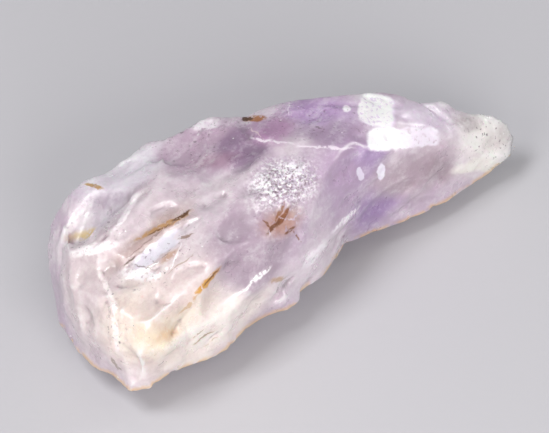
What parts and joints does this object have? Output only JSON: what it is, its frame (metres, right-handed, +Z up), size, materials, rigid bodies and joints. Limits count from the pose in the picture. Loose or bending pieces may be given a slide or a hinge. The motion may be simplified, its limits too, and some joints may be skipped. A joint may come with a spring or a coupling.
{
  "type": "amethyst crystal",
  "caption": "Rough amethyst crystal: a broken block that narrows to a worn tip, lying on a flat face.",
  "frame": {"origin": "middle of the stone's footprint box, on the surface that it lies on", "axes": "+X from the broken root to the worn tip, +Z up, the broad side looks to -Y and +Z"},
  "size_m": [0.054, 0.0242, 0.0176],
  "materials": {
    "amethyst": "cloudy see-through quartz, pale lilac, glossy on fresh breaks and dull on worn ones"
  },
  "bodies": {
    "root": {"amethyst_crystal": "amethyst"}
  },
  "joints": []
}
